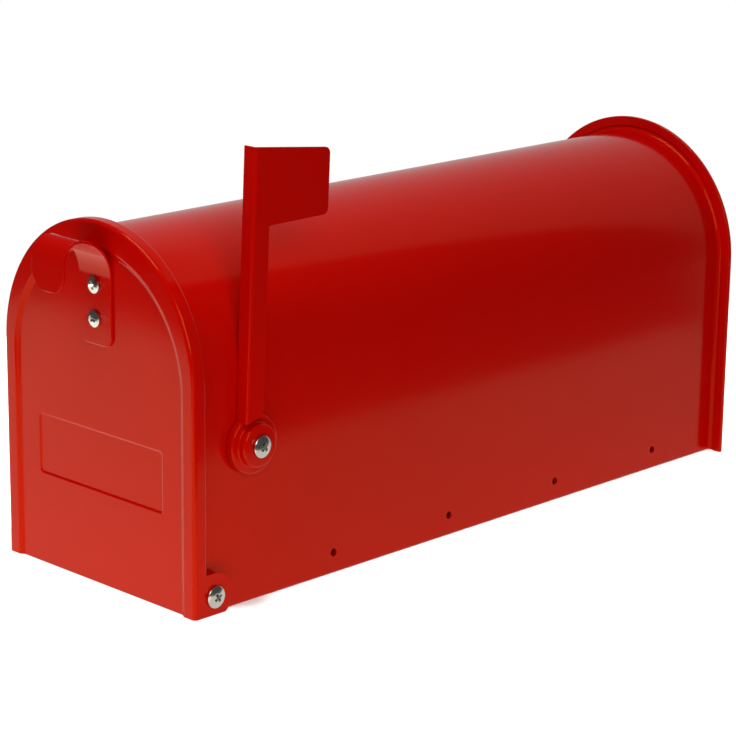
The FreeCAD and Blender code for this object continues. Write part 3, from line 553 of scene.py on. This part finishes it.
class MAILBOX_OT_door(bpy.types.Operator):
    """Stamp the door pan: sunken field and label panel, curled flange and hinge ears"""

    bl_idname = "mailbox.door"
    bl_label = "Door"

    def execute(self, context):
        sizes = context.scene.mailbox_sizes
        foot, half = DOOR_LOW.z, sizes.door_half
        face = DOOR_LOW.y
        field_y = face + sizes.field_recess
        ear_top = HINGE.z + sizes.ear
        curl = sizes.door_curl / 2
        curl_y = face + sizes.door_flange - curl
        mesh = bmesh.new()

        def ring(reach, y, feet, centre=sizes.arch):
            """A loaf outline at one depth of the door."""
            return [(x, y, z) for x, z in arch_path(centre, reach, feet)]

        rolled = [(half - curl + reach, curl_y + back) for reach, back in arc((0, 0), curl, 300, 0, 20)]
        loft(mesh, [ring(reach, y, [ear_top]) for reach, y in rolled])
        section = [(half, curl_y)] + [(half - sizes.door_edge + reach, face + sizes.door_edge + ahead)
                                      for reach, ahead in arc((0, 0), sizes.door_edge, 0, -90, 10)]
        rings = [ring(reach, y, [foot, ear_top]) for reach, y in section]
        for inset, sink in s_curve(sizes.field_slope, sizes.field_recess, steps=12):
            reach = sizes.field_half + sizes.field_slope / 2 - inset
            rings.append(ring(reach, face + sink, [foot, ear_top], sizes.field_arch))
        rows = loft(mesh, rings)

        # The step into the label panel starts as far outside its edge as the panel is deep
        outside = sizes.label_recess
        label = []
        for inset, sink in s_curve(sizes.label_slope, sizes.label_recess):
            wide = sizes.label_half + outside - inset
            low, high = sizes.label_low - outside + inset, sizes.label_high + outside - inset
            outline = round_off([(wide, low), (wide, high), (-wide, high), (-wide, low)],
                                sizes.label_corner - inset / 2)
            label.append([(x, field_y + sink, z) for x, z in outline])
        label_rows = loft(mesh, label, closed=True)
        mesh.faces.new(label_rows[-1])
        holes = []
        for name in ("pull_screw_upper", "pull_screw_lower"):
            low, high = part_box(name)
            outline = circle((0, (low.z + high.z) / 2), sizes.screw_hole)
            holes.append(add_loop(mesh, [(x, field_y, z) for x, z in outline]))
        fill(mesh, [rows[-1], label_rows[0]] + holes, (0, -1, 0))

        run = math.sqrt(sizes.ear ** 2 - (HINGE.z - foot) ** 2)
        sweep = math.degrees(math.atan2(foot - HINGE.z, run))
        ear = [(curl_y, foot)] + arc((HINGE.y, HINGE.z), sizes.ear, sweep, 90, 40) + [(curl_y, ear_top)]
        for side in (1, -1):
            tab = add_loop(mesh, [(side * half, y, z) for y, z in ear])
            eye = add_loop(mesh, [(side * half, y, z) for y, z in circle((HINGE.y, HINGE.z), sizes.hub)])
            fill(mesh, [tab, eye], (side, 0, 0))
        bmesh.ops.remove_doubles(mesh, verts=mesh.verts, dist=1e-6)
        face_outward(mesh, Vector((0, face + 0.05, sizes.arch / 2)))
        piece = new_piece("door_stamping", mesh)
        add_modifier(piece, "SOLIDIFY", thickness=sizes.sheet, offset=-1, use_even_offset=True)
        settle(piece)
        soften(piece)
        leaf = self.fold_hem(sizes, foot, field_y + sizes.sheet)
        material = red_enamel(context.scene.mailbox_finish)
        put_on(leaf, "door", "red_enamel", material)
        put_on(piece, "door", "red_enamel", material, "door_panel")
        return {"FINISHED"}

    def fold_hem(self, sizes, foot, back):
        """The leaf that is folded up behind the door's lower edge."""
        wide, high = sizes.side - sizes.door_hem_inset, foot + sizes.door_hem
        outline = round_off([(-wide, foot), (wide, foot), (wide, high), (-wide, high)],
                            [0.0005, 0.0005, 0.002, 0.002])
        mesh = bmesh.new()
        prism(mesh, outline, back, back + sizes.sheet, along_box)
        bmesh.ops.recalc_face_normals(mesh, faces=mesh.faces)
        leaf = new_piece("door_hem", mesh)
        soften(leaf)
        return leaf


class MAILBOX_OT_pull(bpy.types.Operator):
    """Bend the door pull's strap into its finger tongue"""

    bl_idname = "mailbox.pull"
    bl_label = "Door pull"

    def execute(self, context):
        sizes = context.scene.mailbox_sizes
        low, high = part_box("door_pull")
        half = sizes.pull_sheet / 2
        back, front = high.y - half, low.y + half
        bend = BODY_LOW.z + sizes.pull_top
        climb = math.tan(math.radians(6.0))
        crest = bend + (back - front) * climb
        corners = [(back, low.z), (back, bend), (front, crest), (front, BODY_LOW.z + sizes.pull_tip)]
        line = round_off(corners, [0, sizes.pull_rear_bend, sizes.pull_front_bend, 0], closed=False, steps=24)
        # Both straight ends get many stations, because their corners are rounded
        stations = []
        for number, (start, end) in enumerate(zip(line, line[1:])):
            steps = 40 if number in (0, len(line) - 2) else 1
            for step in range(steps):
                stations.append(Vector(start).lerp(Vector(end), step / steps))
        stations.append(Vector(line[-1]))
        run = [0.0]
        for start, end in zip(stations, stations[1:]):
            run.append(run[-1] + (end - start).length)

        def reach(along, corner):
            """Half width near an end whose corners are rounded."""
            short = max(0.0, corner - along)
            return sizes.pull_half - corner + math.sqrt(corner ** 2 - short ** 2)

        mesh = bmesh.new()
        rings = []
        for number, station in enumerate(stations):
            before, after = stations[max(number - 1, 0)], stations[min(number + 1, len(stations) - 1)]
            along = (after - before).normalized()
            across = Vector((-along.y, along.x))
            wide = min(reach(run[number], sizes.pull_corner),
                       reach(run[-1] - run[number], sizes.tongue_corner))
            ring = round_off([(wide, half), (-wide, half), (-wide, -half), (wide, -half)], 0.0004, steps=3)
            rings.append([(x, *(station + across * depth)) for x, depth in ring])
        rows = loft(mesh, rings, closed=True)
        mesh.faces.new(rows[0])
        mesh.faces.new(rows[-1])
        bmesh.ops.recalc_face_normals(mesh, faces=mesh.faces)
        piece = new_piece("pull_strap", mesh)
        cutters = bmesh.new()
        for name in ("pull_screw_upper", "pull_screw_lower"):
            lowest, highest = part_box(name)
            outline = circle((0, (lowest.z + highest.z) / 2), sizes.screw_hole)
            prism(cutters, outline, high.y - 0.004, high.y + 0.004, along_box)
        cut(piece, cutters)
        add_modifier(piece, "WEIGHTED_NORMAL", keep_sharp=True)
        settle(piece)
        put_on(piece, "door", "red_enamel", red_enamel(context.scene.mailbox_finish), "door_pull")
        return {"FINISHED"}


class MAILBOX_OT_flag(bpy.types.Operator):
    """Stamp the signal flag: round foot and boss, angle-section arm and plate"""

    bl_idname = "mailbox.flag"
    bl_label = "Flag"

    def execute(self, context):
        sizes = context.scene.mailbox_sizes
        lean = math.radians(-2.3)
        upright = Matrix.Translation(FLAG_PIVOT) @ Matrix.Rotation(lean, 4, "X")
        arm = self.stamp_arm(sizes, upright)
        foot = self.turn_foot(sizes, upright)
        material = red_enamel(context.scene.mailbox_finish)
        put_on(foot, "flag", "red_enamel", material)
        put_on(arm, "flag", "red_enamel", material, "flag")
        return {"FINISHED"}

    def stamp_arm(self, sizes, upright):
        """The arm and plate, folded along the front edge, with a wall that runs down into the foot."""
        sheet, bend, web = sizes.flag_sheet, sizes.flag_bend, sizes.flag_web
        front, top = sizes.flag_front, sizes.flag_top
        fold = front + bend
        inner = sizes.flag_foot - sheet
        wall_foot = 0.0047
        start = arc((0, 0), inner, math.degrees(math.acos(sizes.flag_rear / inner)),
                    math.degrees(math.acos(fold / inner)), 12)
        corner_top = top + (sizes.flag_tip_top - top) * bend / (sizes.flag_tip - front)
        # The first point only gives the neck's corner its direction
        outline = round_off([(sizes.flag_rear, 0.1), (sizes.flag_rear, sizes.flag_neck),
                             (sizes.flag_tip, sizes.flag_tip_low), (sizes.flag_tip, sizes.flag_tip_top),
                             (fold, top)], [0, 0.001, 0.004, 0.004, 0], closed=False)[1:]
        outline[-1] = (fold, corner_top)
        mesh = bmesh.new()
        plate = add_loop(mesh, [(web, y, z) for y, z in start[::-1] + outline])
        fill(mesh, [plate], (1, 0, 0))
        bends = []
        for angle in range(0, 91, 10):
            turn = math.radians(angle)
            bends.append((fold - bend * math.sin(turn), web - bend + bend * math.cos(turn)))
        bends.append((front, sizes.flag_gap))
        strip_foot = math.sqrt(inner ** 2 - (front + sheet) ** 2)
        rings = []
        for y, off in bends:
            low = start[-1][1] if off > web - bend / 2 else strip_foot
            rings.append([(off, y, low), (off, y, corner_top)])
        loft(mesh, rings)
        loft(mesh, [[(off, y, z) for y, z in start] for off in (web, wall_foot)])
        bmesh.ops.remove_doubles(mesh, verts=mesh.verts, dist=1e-6)
        bmesh.ops.recalc_face_normals(mesh, faces=mesh.faces)
        broad = max(mesh.faces, key=lambda face: face.calc_area())
        if broad.normal.x < 0:
            bmesh.ops.reverse_faces(mesh, faces=mesh.faces)
        bmesh.ops.transform(mesh, matrix=upright, verts=mesh.verts)
        arm = new_piece("flag_arm", mesh)
        add_modifier(arm, "SOLIDIFY", thickness=sheet, offset=-1, use_even_offset=True)
        settle(arm)
        soften(arm)
        return arm

    def turn_foot(self, sizes, upright):
        """The round foot and its boss, hollow on the body's side."""
        sheet, gap, hub = sizes.flag_sheet, sizes.flag_gap, sizes.flag_hub
        foot, boss = sizes.flag_foot, sizes.flag_boss
        low, high = sizes.flag_foot_height, sizes.flag_boss_height
        outer = round_off([(foot, gap), (foot, low), (boss, low), (boss, high), (hub, high)],
                          [0, 0.0016, 0.0012, 0.0018, 0], closed=False, steps=6)
        inside = round_off([(hub, high - sheet), (boss - sheet, high - sheet), (boss - sheet, low - sheet),
                            (foot - sheet, low - sheet), (foot - sheet, gap)],
                           [0, 0.0008, 0.0006, 0.0006, 0], closed=False, steps=4)
        sideways = upright @ Matrix.Rotation(math.radians(90), 4, "Y")
        mesh = bmesh.new()
        lathe(mesh, outer + inside + outer[:1], sideways, ROUND_STEPS)
        bmesh.ops.recalc_face_normals(mesh, faces=mesh.faces)
        piece = new_piece("flag_foot", mesh)
        soften(piece)
        return piece


class MAILBOX_OT_screws(bpy.types.Operator):
    """Turn the pan-head screws with their cross recesses"""

    bl_idname = "mailbox.screws"
    bl_label = "Screws"

    def execute(self, context):
        outward = {
            "pull_screw_upper": ("door", Vector((0, -1, 0))),
            "pull_screw_lower": ("door", Vector((0, -1, 0))),
            "hinge_screw_right": ("box", Vector((1, 0, 0))),
            "hinge_screw_left": ("box", Vector((-1, 0, 0))),
            "flag_screw": ("box", Vector((1, 0, 0))),
        }
        sizes = context.scene.mailbox_sizes
        material = zinc_plated_steel(context.scene.mailbox_finish)
        for number, (name, (body, axis)) in enumerate(outward.items()):
            low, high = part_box(name)
            size = high - low
            long = abs(size.dot(axis))
            head = (size.x + size.y + size.z - long) / 4
            # The hinge and flag screws have larger and higher heads than the pull's
            height = 0.0032 if head > 0.006 else 0.0028
            crown = (low + high) / 2 + axis * long / 2
            facing = axis.to_track_quat("Z", "Y").to_matrix().to_4x4()
            # Each screw stopped at a turn of its own
            spin = Matrix.Rotation(math.radians(20 + 50 * number), 4, "Z")
            seat = Matrix.Translation(crown - axis * height) @ facing @ spin
            mesh = bmesh.new()
            lathe(mesh, self.profile(sizes.shank, head, height, long), seat)
            bmesh.ops.recalc_face_normals(mesh, faces=mesh.faces)
            piece = new_piece(name + "_plated", mesh)
            cut(piece, self.cross(sizes, height, seat))
            soften(piece, width=0.00008, angle=35)
            put_on(piece, body, "zinc_plated_steel", material, name)
        return {"FINISHED"}

    def profile(self, shank, head, height, long):
        """Half of a screw's section from its tail to its crown, with the head's seat at zero."""
        rim = 0.0014
        rise = height - rim
        dome = (head ** 2 + rise ** 2) / (2 * rise)
        spread = math.asin(head / dome)
        cap = [(dome * math.sin(spread * share / 10), height - dome + dome * math.cos(spread * share / 10))
               for share in range(10, 0, -1)]
        tail = height - long
        return [(0, tail), (shank - 0.0004, tail), (shank, tail + 0.0005), (shank, 0), (head - 0.0002, 0),
                (head, 0.0002)] + cap + [(0, height)]

    def cross(self, sizes, height, seat):
        """The cross recess as a tapered form to take away."""
        slot, reach = sizes.recess_slot, sizes.recess
        arm = [(slot, slot), (slot, reach), (-slot, reach)]
        outline = []
        for _ in range(4):
            outline += arm
            arm = [(-y, x) for x, y in arm]
        levels = ((1.1, height + 0.0005), (1.0, height - 0.0003), (0.45, height - 0.0026))
        mesh = bmesh.new()
        rows = loft(mesh, [[seat @ Vector((x * share, y * share, level)) for x, y in outline]
                           for share, level in levels], closed=True)
        mesh.faces.new(rows[0])
        mesh.faces.new(rows[-1])
        return mesh


class MAILBOX_OT_small_pieces(bpy.types.Operator):
    """Finish the solids that stay as they are: floor, nuts, washer, spacers, bracket and magnet"""

    bl_idname = "mailbox.small_pieces"
    bl_label = "Small pieces"

    def execute(self, context):
        for slot, nodes in SMALL_PIECES.items():
            material = FINISHES[slot](context.scene.mailbox_finish)
            for node in nodes:
                data = frame["nodes"][node].data
                data.materials.clear()
                data.materials.append(material)
        return {"FINISHED"}


class MAILBOX_OT_stage(bpy.types.Operator):
    """Set up the floor, the soft light and the camera"""

    bl_idname = "mailbox.stage"
    bl_label = "Stage"

    def execute(self, context):
        tables = self.lay_floor(context.scene)
        self.light(context.scene, tables)
        self.aim(context.scene)
        context.scene.view_settings.view_transform = "Standard"
        return {"FINISHED"}

    def lay_floor(self, scene):
        """Lay out the white room.

        The eye alone meets the floor, the table and the sky. Light and reflections alone meet the papers
        and the backdrop. The table ends behind the hinges, so that the open door hangs clear of it, and its
        ledge keeps the gap behind the door's foot dark.
        """
        finish = scene.mailbox_finish
        side, front, rear = scene.mailbox_sizes.side, DOOR_LOW.y, REAR_HIGH.y
        top = BODY_LOW.z
        edge = HINGE.y + 0.014
        floor = self.add_sheet("floor", finish.floor, WHITE, self.rectangle(-6, 6, -6, 6, top - 0.045))
        table = self.add_sheet("table", finish.floor, 0.0, self.rectangle(-0.5, 0.5, edge, 0.6, top))
        ledge = self.add_sheet("table_ledge", finish.floor, 0.0,
                               self.rectangle(-0.068, 0.068, edge - 0.002, edge + 0.086, top - 0.004))
        dome = bmesh.new()
        bmesh.ops.create_uvsphere(dome, u_segments=32, v_segments=16, radius=9)
        bmesh.ops.reverse_faces(dome, faces=dome.faces)
        sky = self.add_sheet("sky", finish.floor, WHITE, dome)
        for sheet in (floor, table, ledge, sky):
            sheet.visible_diffuse = sheet.visible_glossy = sheet.visible_shadow = False

        under, wall, crest, left, right = top - 0.002, 0.53, 1.1, -1.0, 0.31
        backdrop = bmesh.new()
        backdrop.faces.new(add_loop(backdrop, [(left, wall, under), (right, wall, under),
                                               (right + 0.07, wall, crest), (left, wall, crest)]))
        bounce = [self.add_sheet("backdrop", finish.floor, 0.57, backdrop)]
        for name, glow, *edges in (
            ("front_paper", 1.8, -0.60, 0.32, -0.66, front),
            ("near_paper", 1.2, 0.0, 0.50, -1.30, -0.66),
            ("right_paper", 1.0, side, right, front, wall),
            ("left_paper", 1.0, left, -side, front, wall),
            ("rear_paper", 1.0, -side, side, rear, wall),
        ):
            bounce.append(self.add_sheet(name, finish.paper, glow, self.rectangle(*edges, under)))
        for sheet in bounce:
            sheet.visible_camera = sheet.visible_shadow = False
        return table, ledge

    def rectangle(self, left, right, near, far, height):
        """A level rectangle that faces up."""
        mesh = bmesh.new()
        corners = [(left, near, height), (right, near, height), (right, far, height), (left, far, height)]
        mesh.faces.new(add_loop(mesh, corners))
        return mesh

    def add_sheet(self, name, tone, glow, mesh):
        """A matt sheet of the stage, white by its own glow or by the light on it, and clear from behind."""
        sheet = new_piece(name, mesh)
        material, tree, shader = new_material("matt_" + name)
        shader.inputs["Base Color"].default_value = (0, 0, 0, 1) if glow else (*tone, 1)
        shader.inputs["Roughness"].default_value = 0.9
        shader.inputs["Specular IOR Level"].default_value = 0.0
        shader.inputs["Emission Color"].default_value = (*tone, 1)
        shader.inputs["Emission Strength"].default_value = glow
        clear = add_node(tree, "ShaderNodeBsdfTransparent")
        behind = add_node(tree, "ShaderNodeNewGeometry").outputs["Backfacing"]
        blend = add_node(tree, "ShaderNodeMixShader",
                         links={0: behind, 1: shader.outputs["BSDF"], 2: clear.outputs["BSDF"]})
        tree.links.new(blend.outputs["Shader"], tree.nodes["Material Output"].inputs["Surface"])
        sheet.data.materials.append(material)
        return sheet

    def light(self, scene, tables):
        """A soft box over the door's end, one by the camera and a light for the table, in a dark room."""
        world = bpy.data.worlds.new("studio")
        world.use_nodes = True
        room = world.node_tree.nodes["Background"]
        room.inputs["Color"].default_value = (1, 1, 1, 1)
        room.inputs["Strength"].default_value = 0.08
        scene.world = world
        for name, power, breadth, place, target in (
            ("top_box", 7.4, 0.7, (-0.05, -0.35, 1.15), (-0.03, -0.15, 0.0)),
            ("camera_box", 9.0, 0.8, (1.2, -0.8, 0.8), (0.0, -0.1, 0.1)),
        ):
            lamp = bpy.data.lights.new(name, "AREA")
            lamp.energy = power
            lamp.size = breadth
            box = bpy.data.objects.new(name, lamp)
            box.location = place
            box.rotation_euler = (Vector(target) - Vector(place)).to_track_quat("-Z", "Y").to_euler()
            scene.collection.objects.link(box)
        lit = bpy.data.collections.new("lit_from_above")
        for table in tables:
            lit.objects.link(table)
        lamp = bpy.data.lights.new("table_light", "SUN")
        lamp.energy = 3.5
        lamp.angle = math.radians(12)
        sun = bpy.data.objects.new("table_light", lamp)
        sun.light_linking.receiver_collection = lit
        scene.collection.objects.link(sun)

    def aim(self, scene):
        """The camera at the photograph's angle."""
        azimuth, elevation, roll = (math.radians(angle) for angle in (44.318, 15.313, 0.726))
        back = Vector((math.sin(azimuth) * math.cos(elevation), -math.cos(azimuth) * math.cos(elevation),
                       math.sin(elevation)))
        right = Vector((math.cos(azimuth), math.sin(azimuth), 0))
        up = back.cross(right)
        right, up = (math.cos(roll) * right + math.sin(roll) * up,
                     math.cos(roll) * up - math.sin(roll) * right)
        foot = Vector((0, -0.0022, BODY_LOW.z))
        target = foot - right * 0.012571 + up * 0.084993
        distance = 1.69545
        lens = bpy.data.cameras.new("camera")
        lens.sensor_width = 36
        lens.lens = lens.sensor_width * LENS_PX / FRAME_PX
        lens.clip_start, lens.clip_end = 0.05, 40
        camera = bpy.data.objects.new("camera", lens)
        turn = Matrix((right, up, back)).transposed().to_4x4()
        camera.matrix_world = Matrix.Translation(target + back * distance) @ turn
        scene.collection.objects.link(camera)
        scene.camera = camera


OPERATORS = (MAILBOX_OT_body, MAILBOX_OT_rear, MAILBOX_OT_door, MAILBOX_OT_pull, MAILBOX_OT_flag,
             MAILBOX_OT_screws, MAILBOX_OT_small_pieces, MAILBOX_OT_stage)


class MAILBOX_PT_panel(bpy.types.Panel):
    """Lists the mailbox's pieces"""

    bl_idname = "MAILBOX_PT_panel"
    bl_label = "Mailbox"
    bl_space_type = "VIEW_3D"
    bl_region_type = "UI"
    bl_category = "Mailbox"

    def draw(self, context):
        for operator in OPERATORS:
            self.layout.operator(operator.bl_idname)


CLASSES = (MailboxSizes, MailboxFinish, *OPERATORS, MAILBOX_PT_panel)


def register():
    for item in CLASSES:
        bpy.utils.register_class(item)
    bpy.types.Scene.mailbox_sizes = PointerProperty(type=MailboxSizes)
    bpy.types.Scene.mailbox_finish = PointerProperty(type=MailboxFinish)


def unregister():
    del bpy.types.Scene.mailbox_finish
    del bpy.types.Scene.mailbox_sizes
    for item in reversed(CLASSES):
        bpy.utils.unregister_class(item)


def main():
    register()
    bpy.ops.mailbox.body()
    bpy.ops.mailbox.rear()
    bpy.ops.mailbox.door()
    bpy.ops.mailbox.pull()
    bpy.ops.mailbox.flag()
    bpy.ops.mailbox.screws()
    bpy.ops.mailbox.small_pieces()
    bpy.ops.mailbox.stage()


if __name__ == "__main__":
    main()
